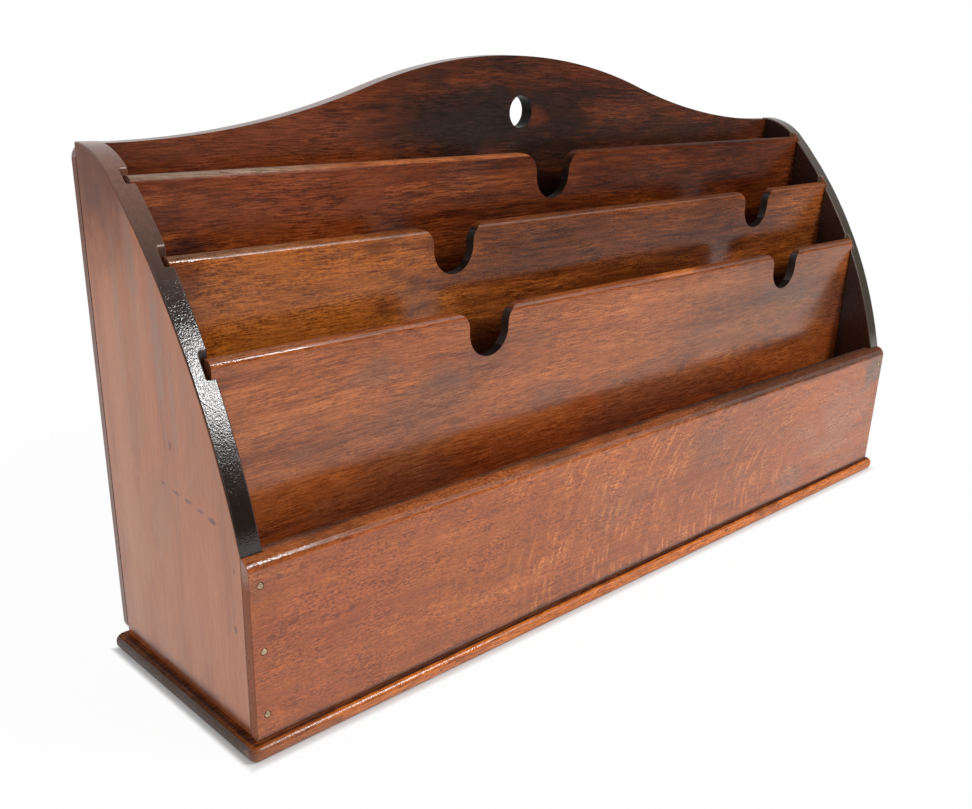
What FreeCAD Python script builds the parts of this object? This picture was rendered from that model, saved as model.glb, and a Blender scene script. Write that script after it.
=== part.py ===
import FreeCAD, Part
import math
import os

from FreeCAD import Rotation, Vector

# A desktop letter rack: two curved ends, lapped front and back boards, a nosed base and three slip-in dividers.
# Millimetres. The origin is under the middle of the base board, X runs along the rack, -Y is the front, +Z is up.

# Carcase, over the outer faces of the ends and from the front board's face to the back board's rear face
rack_width = 400.0
rack_depth = 92.5

# Base board, flush with the back, with a half-round nosing that stands out at the front and the sides
base_thickness = 6.5
base_side_overhang = 4.0
base_front_overhang = 3.0
nosing_flat = 0.5
base_corner_ease = 0.4

# Ends, above the base board: a tight arc turns down from the top, then a long sweep meets the front board
end_thickness = 8.0
end_height = 178.3
end_top_radius = 32.0
end_top_turn = 43.0

# Front board, rebated so that a thin lap covers the ends' front edges
front_thickness = 8.5
front_height = 64.5
front_lap = 4.0
front_round = 4.5
front_inner_ease = 1.5

# Back board, rebated in the same way, with a serpentine top and a hole to hang the rack by
back_thickness = 6.0
back_lap = 3.0
back_shoulder_drop = 0.6
back_rise = 29.2
back_peak_x = -8.5
back_crest_share = 0.42
back_corner_radius = 5.0
hang_hole_radius = 6.7
hang_hole_x = -2.8
hang_hole_below_peak = 22.6

# Dividers, which slip down the grooves in the ends and stand on the base
divider_thickness = 4.0
rear_divider_height = 169.5
middle_divider_height = 147.5
front_divider_height = 120.0
divider_arris_ease = 0.7
groove_depth = 3.2
groove_clearance = 0.25
divider_end_gap = 1.6

# Finger notches in the dividers' tops, placed from the middle of the rack: a round bottom, a short straight wall
# and a round shoulder at each side
notch_width = 20.0
rear_notch_depth = 19.2
rear_notch_wall = 0.4
rear_notch_x = -2.5
side_notch_depth = 18.0
side_notch_wall = 1.4
left_notch_x = -77.5
right_notch_x = 127.0

# Pins that hold the carcase together
pin_head_radius = 1.1
pin_head_rim = 0.3
pin_head_thickness = 0.9
pin_crown = 0.15
pin_shank_radius = 0.7
pin_tip_radius = 0.2
pin_point_length = 1.6
pin_sides = 8
pin_clearance = 0.05
side_pin_length = 14.0
base_pin_length = 18.0
base_pin_sink = 0.4
back_pin_sink = 0.3
front_pin_margin = 9.0
front_pins_per_end = 3
back_pin_margin = 20.0
back_pins_per_end = 3
base_pin_margin = 20.0
base_pins_per_end = 2
base_rail_pin_x = 110.0

# Places that follow from the sizes above
base_top = base_thickness
base_depth = base_front_overhang + rack_depth
half_width = rack_width / 2
inner_half_width = half_width - end_thickness
front_y = base_front_overhang - base_depth / 2
rear_y = front_y + rack_depth
front_inner_y = front_y + front_thickness
back_inner_y = rear_y - back_thickness
end_front_y = front_y + front_lap
end_rear_y = rear_y - back_lap
end_top = base_top + end_height
front_top = base_top + front_height
back_shoulder = end_top - back_shoulder_drop
back_peak = back_shoulder + back_rise
divider_half_length = inner_half_width + groove_depth - divider_end_gap
pocket_depth = (back_inner_y - front_inner_y - 3 * divider_thickness) / 4
divider_pitch = pocket_depth + divider_thickness
front_divider_y = front_inner_y + pocket_depth
middle_divider_y = front_divider_y + divider_pitch
rear_divider_y = middle_divider_y + divider_pitch
divider_ys = (front_divider_y, middle_divider_y, rear_divider_y)
past = 1.0


def spaced(low, high, count):
    """Evenly spaced places from low to high, both included."""
    step = (high - low) / (count - 1)
    return [low + step * index for index in range(count)]


def line(start, end):
    return Part.LineSegment(start, end).toShape()


def arc(start, middle, end):
    return Part.Arc(start, middle, end).toShape()


def extruded(edges, direction):
    return Part.Face(Part.Wire(edges)).extrude(direction)


def box(low, high):
    size = high - low
    return Part.makeBox(size.x, size.y, size.z, low)


def pin_ring(radius, height):
    """One of the rings that a pin, or the hole for it, is drawn through: few-sided, because pins are small and many."""
    turns = [2 * math.pi * index / pin_sides for index in range(pin_sides)]
    corners = [Vector(radius * math.cos(turn), radius * math.sin(turn), height) for turn in turns]
    return Part.makePolygon(corners + corners[:1])


def pin_solid(grow, length, head_top):
    """A pin whose head lies under Z = 0, or the hole for it when grow is a clearance."""
    head = pin_head_radius + grow
    shank = pin_shank_radius + grow
    rings = [
        pin_ring(head, head_top),
        pin_ring(head, -pin_head_rim - grow),
        pin_ring(shank, -pin_head_thickness - grow),
        pin_ring(shank, pin_point_length - length - grow),
        pin_ring(pin_tip_radius + grow, -length - grow),
    ]
    return Part.makeLoft(rings, True, True)


class PinRow:
    """Pins of one length that are driven the same way, and the holes that they sit in."""

    def __init__(self, places, outward, length, sink=0.0):
        self.places = [place - outward * sink for place in places]
        self.turn = Rotation(Vector(0, 0, 1), outward)
        self.length = length
        self.sink = sink

    def driven(self, grow, head_top):
        """One solid at each place, with its head towards the face that the pins are driven into."""
        solids = []
        for place in self.places:
            solid = pin_solid(grow, self.length, head_top)
            solid.Placement = FreeCAD.Placement(place, self.turn)
            solids.append(solid)
        return solids

    def pins(self):
        return Part.makeCompound(self.driven(0.0, pin_crown))

    def drill(self, board):
        """The board less the pins' holes, which are open at the face that the pins are driven into."""
        return board.cut(self.driven(pin_clearance, self.sink + past))


pin_x = half_width - end_thickness / 2
front_pin_row = PinRow(
    [Vector(side * pin_x, front_y, z) for side in (-1, 1)
     for z in spaced(base_top + front_pin_margin, front_top - front_pin_margin, front_pins_per_end)],
    Vector(0, -1, 0), side_pin_length)
back_pin_row = PinRow(
    [Vector(side * pin_x, rear_y, z) for side in (-1, 1)
     for z in spaced(base_top + back_pin_margin, end_top - back_pin_margin, back_pins_per_end)],
    Vector(0, 1, 0), side_pin_length, back_pin_sink)
base_pin_row = PinRow(
    [Vector(side * pin_x, y, 0) for side in (-1, 1)
     for y in spaced(end_front_y + base_pin_margin, end_rear_y - base_pin_margin, base_pins_per_end)]
    + [Vector(side * base_rail_pin_x, y, 0) for side in (-1, 1)
       for y in (front_y + front_thickness / 2, rear_y - back_thickness / 2)],
    Vector(0, 0, -1), base_pin_length, base_pin_sink)


def base_board():
    """A board with rounded front corners, worked to a half-round nosing along its front and its sides."""
    half_length = half_width + base_side_overhang
    half_depth = base_depth / 2
    nosing = (base_thickness - nosing_flat) / 2
    board = box(Vector(-half_length, -half_depth, 0), Vector(half_length, half_depth, base_thickness))
    corners = [edge for edge in board.Edges if edge.BoundBox.ZLength > nosing_flat and edge.BoundBox.YMax < 0]
    board = board.makeFillet(nosing + base_corner_ease, corners)
    clear_of_rear = half_depth - nosing_flat
    rims = [edge for edge in board.Edges
            if edge.BoundBox.ZLength < nosing_flat and edge.BoundBox.YMin < clear_of_rear]
    return base_pin_row.drill(board.makeFillet(nosing, rims))


def end_outline(x):
    """The end's outline at x: up the back, over the tight arc and down the sweep to the front board."""
    def normal(angle):
        return Vector(0, -math.sin(angle), math.cos(angle))

    turn = math.radians(end_top_turn)
    top = Vector(x, end_rear_y, end_top)
    tight_centre = top - normal(0) * end_top_radius
    join = tight_centre + normal(turn) * end_top_radius
    foot = Vector(x, end_front_y, front_top)
    reach = foot - join
    sweep_radius = -reach.dot(reach) / (2 * reach.dot(normal(turn)))
    sweep_centre = join - normal(turn) * sweep_radius
    foot_turn = math.atan2(sweep_centre.y - foot.y, foot.z - sweep_centre.z)
    heel = Vector(x, end_rear_y, base_top)
    toe = Vector(x, end_front_y, base_top)
    return [
        line(heel, top),
        arc(top, tight_centre + normal(turn / 2) * end_top_radius, join),
        arc(join, sweep_centre + normal((turn + foot_turn) / 2) * sweep_radius, foot),
        line(foot, toe),
        line(toe, heel),
    ]


def end_panel(side):
    """One end, with a groove for each divider that runs from the base out through the curved edge."""
    outer_x = side * half_width
    inner_x = side * inner_half_width
    panel = extruded(end_outline(min(outer_x, inner_x)), Vector(end_thickness, 0, 0))
    floor_x = inner_x + side * groove_depth
    mouth_x = inner_x - side * past
    for divider_y in divider_ys:
        low = Vector(min(floor_x, mouth_x), divider_y - groove_clearance, base_top - past)
        high = Vector(max(floor_x, mouth_x), divider_y + divider_thickness + groove_clearance, end_top + past)
        panel = panel.cut(box(low, high))
    for row in (front_pin_row, back_pin_row, base_pin_row):
        panel = row.drill(panel)
    return panel


def rebate(board, low_y, high_y, top):
    """The board less a rebate at each end that lets the ends in behind the lap."""
    for side in (-1, 1):
        edges = sorted((side * inner_half_width, side * (half_width + past)))
        board = board.cut(box(Vector(edges[0], low_y, base_top - past), Vector(edges[1], high_y, top + past)))
    return board


def front_board():
    """The front board's section, rounded over at the top, run along the rack and rebated at both ends."""
    x = -half_width
    lower = math.sqrt(0.5)
    face_low = Vector(x, front_y, base_top)
    face_high = Vector(x, front_y, front_top - front_round)
    round_centre = Vector(x, front_y + front_round, front_top - front_round)
    top_front = Vector(x, front_y + front_round, front_top)
    top_rear = Vector(x, front_inner_y - front_inner_ease, front_top)
    ease_centre = Vector(x, front_inner_y - front_inner_ease, front_top - front_inner_ease)
    inner_high = Vector(x, front_inner_y, front_top - front_inner_ease)
    inner_low = Vector(x, front_inner_y, base_top)
    section = [
        line(face_low, face_high),
        arc(face_high, round_centre + Vector(0, -lower, lower) * front_round, top_front),
        line(top_front, top_rear),
        arc(top_rear, ease_centre + Vector(0, lower, lower) * front_inner_ease, inner_high),
        line(inner_high, inner_low),
        line(inner_low, face_low),
    ]
    board = extruded(section, Vector(rack_width, 0, 0))
    board = rebate(board, end_front_y, front_inner_y + past, front_top)
    return base_pin_row.drill(front_pin_row.drill(board))


def back_outline(y):
    """The back's outline: each half of its top is a full arc at the crest that runs into a longer hollow arc."""
    corner = back_corner_radius
    bite = corner * (1 - math.sqrt(0.5))
    hollow_share = 1 - back_crest_share
    peak = Vector(back_peak_x, y, back_peak)
    edges = []
    for side in (-1, 1):
        run = inner_half_width - side * back_peak_x
        both_radii = (run ** 2 + back_rise ** 2) / (2 * back_rise)
        half_turn = math.asin(run / both_radii) / 2
        to_middle = Vector(side * both_radii * math.sin(half_turn), 0, both_radii * (math.cos(half_turn) - 1))
        to_end = Vector(side * run, 0, -back_rise)
        shoulder = peak + to_end
        crest = peak + to_middle * back_crest_share
        bend = peak + to_end * back_crest_share
        hollow = shoulder - to_middle * hollow_share
        corner_in = Vector(side * (half_width - corner), y, back_shoulder)
        corner_out = Vector(side * half_width, y, back_shoulder - corner)
        corner_mid = Vector(side * (half_width - bite), y, back_shoulder - bite)
        heel_out = Vector(side * half_width, y, base_top + corner)
        heel_mid = Vector(side * (half_width - bite), y, base_top + bite)
        heel_in = Vector(side * (half_width - corner), y, base_top)
        edges += [
            arc(peak, crest, bend),
            arc(bend, hollow, shoulder),
            line(shoulder, corner_in),
            arc(corner_in, corner_mid, corner_out),
            line(corner_out, heel_out),
            arc(heel_out, heel_mid, heel_in),
            line(heel_in, Vector(back_peak_x, y, base_top)),
        ]
    return Part.__sortEdges__(edges)


def back_board():
    """The serpentine back with its hanging hole, rebated at both ends."""
    board = extruded(back_outline(back_inner_y), Vector(0, back_thickness, 0))
    hole_place = Vector(hang_hole_x, back_inner_y - past, back_peak - hang_hole_below_peak)
    hole = Part.makeCylinder(hang_hole_radius, back_thickness + 2 * past, hole_place, Vector(0, 1, 0))
    board = rebate(board.cut(hole), back_inner_y - past, end_rear_y, back_peak)
    return base_pin_row.drill(back_pin_row.drill(board))


def notch_path(centre_x, y, top, depth, straight):
    """A finger notch from left to right: rounded shoulders, straight walls and a round bottom."""
    half = notch_width / 2
    shoulder = depth - half - straight
    bite = shoulder * (1 - math.sqrt(0.5))
    wall_low = top - depth + half

    def wall(side):
        x = centre_x + side * half
        rim = Vector(x + side * shoulder, y, top)
        ease = Vector(x + side * bite, y, top - bite)
        high = Vector(x, y, top - shoulder)
        low = Vector(x, y, wall_low)
        return rim, ease, high, low

    left_rim, left_ease, left_high, left_low = wall(-1)
    right_rim, right_ease, right_high, right_low = wall(1)
    edges = [
        arc(left_rim, left_ease, left_high),
        line(left_high, left_low),
        arc(left_low, Vector(centre_x, y, top - depth), right_low),
        line(right_low, right_high),
        arc(right_high, right_ease, right_rim),
    ]
    return edges, left_rim, right_rim


def divider(y, height, notch_xs, notch_depth, notch_wall):
    """A divider board with finger notches, whose arrises are eased along the top and round the notches."""
    top = base_top + height
    start = Vector(-divider_half_length, y, top)
    top_path = []
    at = start
    for notch_x in notch_xs:
        edges, left_rim, right_rim = notch_path(notch_x, y, top, notch_depth, notch_wall)
        top_path += [line(at, left_rim)] + edges
        at = right_rim
    finish = Vector(divider_half_length, y, top)
    foot_right = Vector(divider_half_length, y, base_top)
    foot_left = Vector(-divider_half_length, y, base_top)
    outline = top_path + [
        line(at, finish),
        line(finish, foot_right),
        line(foot_right, foot_left),
        line(foot_left, start),
    ]
    board = extruded(outline, Vector(0, divider_thickness, 0))

    def on_top_path(edge):
        bounds = edge.BoundBox
        lies_in_face = bounds.YLength < divider_arris_ease
        clear_of_foot = bounds.ZMin > base_top + divider_arris_ease
        return lies_in_face and clear_of_foot

    return board.makeChamfer(divider_arris_ease, [edge for edge in board.Edges if on_top_path(edge)])


rear_notches = ((rear_notch_x,), rear_notch_depth, rear_notch_wall)
side_notches = ((left_notch_x, right_notch_x), side_notch_depth, side_notch_wall)
nodes = {
    "base_board": base_board(),
    "left_end": end_panel(-1),
    "right_end": end_panel(1),
    "front_board": front_board(),
    "back_board": back_board(),
    "rear_divider": divider(rear_divider_y, rear_divider_height, *rear_notches),
    "middle_divider": divider(middle_divider_y, middle_divider_height, *side_notches),
    "front_divider": divider(front_divider_y, front_divider_height, *side_notches),
    "front_pins": front_pin_row.pins(),
    "back_pins": back_pin_row.pins(),
    "base_pins": base_pin_row.pins(),
}

os.makedirs("parts", exist_ok=True)
for node, shape in nodes.items():
    shape.exportStep(f"parts/{node}.step")
    bounds = shape.BoundBox
    print(f"{node}: {len(shape.Solids)} solids, {shape.Volume:.0f} mm3, valid {shape.isValid()}, "
          f"x {bounds.XMin:.1f}..{bounds.XMax:.1f} y {bounds.YMin:.1f}..{bounds.YMax:.1f} "
          f"z {bounds.ZMin:.1f}..{bounds.ZMax:.1f}")
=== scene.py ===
"""The looks of an old polished letter rack: eased boards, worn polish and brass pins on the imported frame."""

import logging
import math
from dataclasses import dataclass
from enum import Enum
from typing import Callable, Optional, Sequence, Union

import bpy
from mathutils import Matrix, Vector


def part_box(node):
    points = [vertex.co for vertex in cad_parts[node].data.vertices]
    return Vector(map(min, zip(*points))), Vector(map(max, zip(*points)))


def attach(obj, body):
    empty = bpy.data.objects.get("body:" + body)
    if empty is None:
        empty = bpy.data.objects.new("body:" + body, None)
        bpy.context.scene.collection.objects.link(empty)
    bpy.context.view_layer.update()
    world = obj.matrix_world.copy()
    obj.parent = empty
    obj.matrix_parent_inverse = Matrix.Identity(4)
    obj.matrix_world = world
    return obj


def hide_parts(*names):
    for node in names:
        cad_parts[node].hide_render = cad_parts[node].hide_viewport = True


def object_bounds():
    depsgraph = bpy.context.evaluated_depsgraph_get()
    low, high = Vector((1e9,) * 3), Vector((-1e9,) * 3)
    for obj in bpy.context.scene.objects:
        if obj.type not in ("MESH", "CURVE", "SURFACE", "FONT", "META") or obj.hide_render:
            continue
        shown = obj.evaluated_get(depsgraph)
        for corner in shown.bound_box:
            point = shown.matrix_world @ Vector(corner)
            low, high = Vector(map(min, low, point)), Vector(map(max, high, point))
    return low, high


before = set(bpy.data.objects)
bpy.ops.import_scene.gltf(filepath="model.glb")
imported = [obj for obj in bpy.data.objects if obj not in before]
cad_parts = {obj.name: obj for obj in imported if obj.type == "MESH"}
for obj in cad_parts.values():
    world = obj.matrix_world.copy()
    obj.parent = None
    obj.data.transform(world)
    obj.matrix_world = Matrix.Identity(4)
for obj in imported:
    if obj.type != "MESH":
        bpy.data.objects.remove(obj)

CAD_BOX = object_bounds()
LOG = logging.getLogger("letter_rack")

MM = 0.001
SMOOTH_ANGLE = math.radians(38.0)
SHARP_ANGLE = math.radians(26.0)
ROUND_PROFILE = 0.5
ARRIS_SLOT = 1
FACING = 0.99
SIDES = (-1.0, 1.0)
WHITE = (1.0, 1.0, 1.0)
TOUCH = 0.02 * MM
CUT_SPARE = 5.0 * MM
THROUGH = 50.0 * MM
POLISH_IOR = 1.60
WORN_IOR = 1.16
END_PIN_MARGIN = 20.0 * MM
RAIL_PIN_X = 110.0 * MM
BASE_PIN_LENGTH = 18.0 * MM
DEEP = Vector((0.0, 1.0, 0.0))
UPWARD = Vector((0.0, 0.0, 1.0))

Colour = tuple[float, float, float]
Triple = tuple[float, float, float]
Piece = bpy.types.Object
Material = bpy.types.Material
Socket = bpy.types.NodeSocket
Outputs = bpy.types.bpy_prop_collection
Feed = Union[Socket, float, Sequence[float]]
EdgeTest = Callable[[Vector, Vector], bool]


def metres(lengths: Sequence[float]) -> tuple[float, ...]:
    """Turn millimetres into metres."""
    return tuple(length * MM for length in lengths)


class Grain(Enum):
    """The way the fibres of a board run."""

    LEVEL = (0.0, 0.0, 0.0)
    UPRIGHT = (0.0, math.radians(90.0), 0.0)


class Broad(Enum):
    """The way the broad face of a board looks."""

    FORWARD = (0.0, 1.0, 0.0)
    SIDEWAYS = (1.0, 0.0, 0.0)
    UP = (0.0, 0.0, 1.0)


class Effect(Enum):
    """The shared surface effects, each one node group."""

    GRAIN = "wood_grain"
    FLECK = "ray_fleck"
    STAIN = "old_stain"
    SKIN = "polish_skin"
    EDGE = "edge_zone"
    PATCH = "soft_patch"


class Bench:
    """The modelling tools, each the operator that a maker would use by hand."""

    @staticmethod
    def alone(piece: Piece) -> None:
        """Select one piece and nothing else."""
        bpy.ops.object.select_all(action="DESELECT")
        piece.select_set(True)
        bpy.context.view_layer.objects.active = piece

    @staticmethod
    def block(name: str, low: Vector, high: Vector) -> Piece:
        """Saw a square block to size, in place.

        Args:
            name: The piece's name.
            low: Lowest corner in metres.
            high: Highest corner in metres.

        Returns:
            The block, with its place in its mesh.
        """
        bpy.ops.object.select_all(action="DESELECT")
        bpy.ops.mesh.primitive_cube_add(size=1.0, location=(low + high) / 2.0, scale=high - low)
        piece = bpy.context.active_object
        piece.name = name
        piece.data.name = name
        bpy.ops.object.transform_apply(location=True, rotation=True, scale=True)
        return piece

    @staticmethod
    def rod(name: str, middle: Vector, radius: float, length: float, facets: int,
            way: Vector = DEEP) -> Piece:
        """Turn a round rod.

        Args:
            name: The rod's name.
            middle: The middle of the rod.
            radius: Its radius in metres.
            length: Its length in metres.
            facets: Facets round it.
            way: The way that it lies, from front to back if nothing is said.

        Returns:
            The rod.
        """
        bpy.ops.object.select_all(action="DESELECT")
        bpy.ops.mesh.primitive_cylinder_add(vertices=facets, radius=radius, depth=length, location=middle,
                                            rotation=UPWARD.rotation_difference(way).to_euler())
        piece = bpy.context.active_object
        piece.name = name
        return piece

    @staticmethod
    def pick_edges(piece: Piece, test: EdgeTest) -> int:
        """Select the edges whose two ends pass a test, and leave the piece in edit mode.

        Args:
            piece: The piece to work on.
            test: Takes the two end points and says whether the edge is wanted.

        Returns:
            How many edges were selected.
        """
        Bench.alone(piece)
        bpy.context.tool_settings.mesh_select_mode = (False, True, False)
        bpy.ops.object.mode_set(mode="EDIT")
        bpy.ops.mesh.select_all(action="DESELECT")
        bpy.ops.object.mode_set(mode="OBJECT")
        points = piece.data.vertices
        wanted = 0
        for edge in piece.data.edges:
            start, end = (points[index].co for index in edge.vertices)
            edge.select = test(start, end)
            wanted += edge.select
        bpy.ops.object.mode_set(mode="EDIT")
        return wanted

    @staticmethod
    def round_edges(piece: Piece, test: EdgeTest, radius: float, segments: int) -> None:
        """Plane a round on chosen edges.

        Args:
            piece: The piece to work on.
            test: Says which edges are rounded.
            radius: Radius in metres.
            segments: Facets across the round.
        """
        wanted = Bench.pick_edges(piece, test)
        if wanted:
            bpy.ops.mesh.bevel(offset=radius, segments=segments, profile=ROUND_PROFILE, affect="EDGES",
                               clamp_overlap=True)
        bpy.ops.object.mode_set(mode="OBJECT")
        LOG.info("%s: %d edges rounded to %.1f mm", piece.name, wanted, radius / MM)

    @staticmethod
    def plane_off(piece: Piece, point: Vector, outward: Vector) -> None:
        """Take off all that lies outside a plane, and close the cut.

        Args:
            piece: The piece to work on.
            point: A point on the plane.
            outward: The side that is taken off.
        """
        Bench.alone(piece)
        bpy.ops.object.mode_set(mode="EDIT")
        bpy.ops.mesh.select_all(action="SELECT")
        bpy.ops.mesh.bisect(plane_co=point, plane_no=outward, use_fill=True, clear_outer=True)
        bpy.ops.object.mode_set(mode="OBJECT")

    @staticmethod
    def cut_out(piece: Piece, cutter: Piece) -> None:
        """Cut the shape of one block out of a piece, and drop the block.

        Args:
            piece: The piece to work on.
            cutter: The block, which is used up.
        """
        Bench.alone(piece)
        cut = piece.modifiers.new("cut", "BOOLEAN")
        cut.operation = "DIFFERENCE"
        cut.solver = "EXACT"
        cut.object = cutter
        bpy.ops.object.modifier_apply(modifier=cut.name)
        bpy.data.objects.remove(cutter, do_unlink=True)

    @staticmethod
    def ease(piece: Piece, width: float, segments: int = 3) -> None:
        """Rub the sharp arrises down to a small round, marked as worn for the finish.

        Args:
            piece: The piece to work on.
            width: Width of the eased strip in metres.
            segments: Facets across the strip.
        """
        Bench.alone(piece)
        rub = piece.modifiers.new("arris", "BEVEL")
        rub.limit_method = "ANGLE"
        rub.angle_limit = SHARP_ANGLE
        rub.width = width
        rub.segments = segments
        rub.use_clamp_overlap = True
        rub.miter_outer = "MITER_ARC"
        rub.material = ARRIS_SLOT
        for _ in range(ARRIS_SLOT + 1):
            piece.data.materials.append(None)
        bpy.ops.object.modifier_apply(modifier=rub.name)
        worn = piece.data.attributes.new("arris", "FLOAT", "FACE")
        for face in piece.data.polygons:
            worn.data[face.index].value = float(face.material_index)
            face.material_index = 0
        piece.data.materials.clear()

    @staticmethod
    def polish(piece: Piece) -> None:
        """Shade the rounds smooth and keep the flats flat.

        Args:
            piece: The piece to work on.
        """
        Bench.alone(piece)
        bpy.ops.object.shade_smooth_by_angle(angle=SMOOTH_ANGLE)
        flat = piece.modifiers.new("flats", "WEIGHTED_NORMAL")
        flat.keep_sharp = True
        bpy.ops.object.modifier_apply(modifier=flat.name)

    @staticmethod
    def fit(piece: Piece, node: str, body: str, slot: str) -> None:
        """Put a finished piece in the place of its node.

        Args:
            piece: The finished piece.
            node: The node that it stands for.
            body: The body that carries it.
            slot: A material slot name; not used.
        """
        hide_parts(node)
        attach(piece, body)
        LOG.info("%s rides on %s: %d faces", piece.name, body, len(piece.data.polygons))


class Graph:
    """A node tree with short ways to add nodes and join them."""

    HALF = 0.5
    MIX_INPUTS = (0, 6, 7)
    MIX_OUTPUT = 2

    def __init__(self, tree: bpy.types.NodeTree) -> None:
        """Keep the tree that the nodes go into."""
        self.tree = tree

    @classmethod
    def start(cls, owner: Union[Material, bpy.types.World]) -> "Graph":
        """Start an empty tree.

        Args:
            owner: The material or the world that the tree belongs to.

        Returns:
            The tree's graph.
        """
        owner.use_nodes = True
        owner.node_tree.nodes.clear()
        return cls(owner.node_tree)

    def node(self, kind: str, feeds: Optional[dict[str, Feed]] = None, **settings: object) -> bpy.types.Node:
        """Add a node.

        Args:
            kind: The node's type.
            feeds: A socket or a plain value for each named input.
            settings: The node's own properties.

        Returns:
            The new node.
        """
        node = self.tree.nodes.new(kind)
        for name, value in settings.items():
            setattr(node, name, value)
        for name, value in (feeds or {}).items():
            self.feed(node.inputs[name], value)
        return node

    def feed(self, socket: Socket, value: Feed) -> None:
        """Join a socket to an input, or set the input's own value.

        Args:
            socket: The input.
            value: What it gets.
        """
        if isinstance(value, Socket):
            self.tree.links.new(value, socket)
        elif socket.type == "RGBA":
            socket.default_value = (*value, 1.0)
        else:
            socket.default_value = value

    def work(self, kind: str, operation: str, values: Sequence[Feed], **settings: object) -> bpy.types.Node:
        """Add a node that works on its inputs in order.

        Args:
            kind: The node's type.
            operation: What it does.
            values: A socket or a plain value for each input.
            settings: The node's other properties.

        Returns:
            The new node.
        """
        node = self.node(kind, operation=operation, **settings)
        for socket, value in zip(node.inputs, values):
            self.feed(socket, value)
        return node

    def math(self, operation: str, *values: Feed, clamp: bool = False) -> Socket:
        """Work out one number from others."""
        return self.work("ShaderNodeMath", operation, values, use_clamp=clamp).outputs[0]

    def vector(self, operation: str, *values: Feed, result: str = "Vector") -> Socket:
        """Work out one vector or number from vectors."""
        return self.work("ShaderNodeVectorMath", operation, values).outputs[result]

    def scaled(self, vector: Feed, amount: Feed) -> Socket:
        """Lengthen a vector by a number."""
        node = self.node("ShaderNodeVectorMath", {"Vector": vector, "Scale": amount}, operation="SCALE")
        return node.outputs["Vector"]

    def stretched(self, vector: Feed, x: float = 1.0, y: float = 1.0) -> Socket:
        """Draw a pattern out along the axes with a small scale."""
        return self.node("ShaderNodeMapping", {"Vector": vector, "Scale": (x, y, 1.0)}).outputs["Vector"]

    def axes(self, vector: Feed) -> Outputs:
        """Split a vector into its X, Y and Z."""
        return self.node("ShaderNodeSeparateXYZ", {"Vector": vector}).outputs

    def mix(self, share: Feed, first: Feed, second: Feed, blend: str = "MIX") -> Socket:
        """Mix two colours.

        Args:
            share: How much the second one shows.
            first: The colour below.
            second: The colour above.
            blend: The way that they blend.

        Returns:
            The mixed colour.
        """
        node = self.node("ShaderNodeMix", data_type="RGBA", blend_type=blend, clamp_factor=True)
        for index, value in zip(self.MIX_INPUTS, (share, first, second)):
            self.feed(node.inputs[index], value)
        return node.outputs[self.MIX_OUTPUT]

    def lay(self, share: Feed, weight: float, below: Feed, above: Feed) -> Socket:
        """Lay one colour over another by a share and its weight."""
        return self.mix(self.math("MULTIPLY", share, weight), below, above)

    def noise(self, vector: Feed, scale: Feed, detail: float = 2.0, rough: float = 0.5, twist: float = 0.0,
              result: str = "Fac") -> Socket:
        """Sample soft noise.

        Args:
            vector: Where to sample, in metres.
            scale: Features to a metre.
            detail: Octaves of finer noise.
            rough: Weight of the finer octaves.
            twist: How far the pattern curls.
            result: The output wanted, Fac or Color.

        Returns:
            The noise.
        """
        feeds = {"Vector": vector, "Scale": scale, "Detail": detail, "Roughness": rough, "Distortion": twist}
        return self.node("ShaderNodeTexNoise", feeds).outputs[result]

    def step(self, value: Feed, low: Feed, high: Feed, start: float = 0.0, end: float = 1.0) -> Socket:
        """Ramp softly from start to end as a value goes from low to high."""
        feeds = {"Value": value, "From Min": low, "From Max": high, "To Min": start, "To Max": end}
        return self.node("ShaderNodeMapRange", feeds, interpolation_type="SMOOTHSTEP").outputs["Result"]

    def weigh(self, parts: Outputs, weights: dict[str, float]) -> Socket:
        """Sum an effect's outputs by their weights, so that the middle of each gives a half.

        Args:
            parts: The effect's outputs.
            weights: A weight for each output that counts.

        Returns:
            The sum.
        """
        total = self.HALF - self.HALF * sum(weights.values())
        for name, weight in weights.items():
            total = self.math("MULTIPLY_ADD", parts[name], weight, total)
        return total

    def coat(self, feeds: dict[str, Feed]) -> None:
        """End a material with one shader."""
        shader = self.node("ShaderNodeBsdfPrincipled", feeds)
        self.node("ShaderNodeOutputMaterial", {"Surface": shader.outputs["BSDF"]})

    def effect(self, effect: Effect, feeds: dict[str, Feed]) -> Outputs:
        """Place a shared effect and give its outputs."""
        return self.node("ShaderNodeGroup", feeds, node_tree=Effects.group(effect)).outputs


class Group(Graph):
    """The node tree of one shared effect, with its inputs to read and its outputs to set."""

    def __init__(self, effect: Effect, inputs: dict[str, str], outputs: Sequence[str]) -> None:
        """Start the tree.

        Args:
            effect: The effect, which names the tree.
            inputs: Socket type of each named input.
            outputs: Names of the outputs, all numbers.
        """
        super().__init__(bpy.data.node_groups.new(effect.value, "ShaderNodeTree"))
        for name, kind in inputs.items():
            self.tree.interface.new_socket(name=name, in_out="INPUT", socket_type=f"NodeSocket{kind}")
        for name in outputs:
            self.tree.interface.new_socket(name=name, in_out="OUTPUT", socket_type="NodeSocketFloat")
        self.read = self.node("NodeGroupInput").outputs
        self.target = self.node("NodeGroupOutput").inputs

    def put(self, name: str, value: Socket) -> None:
        """Set an output."""
        self.feed(self.target[name], value)


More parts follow.
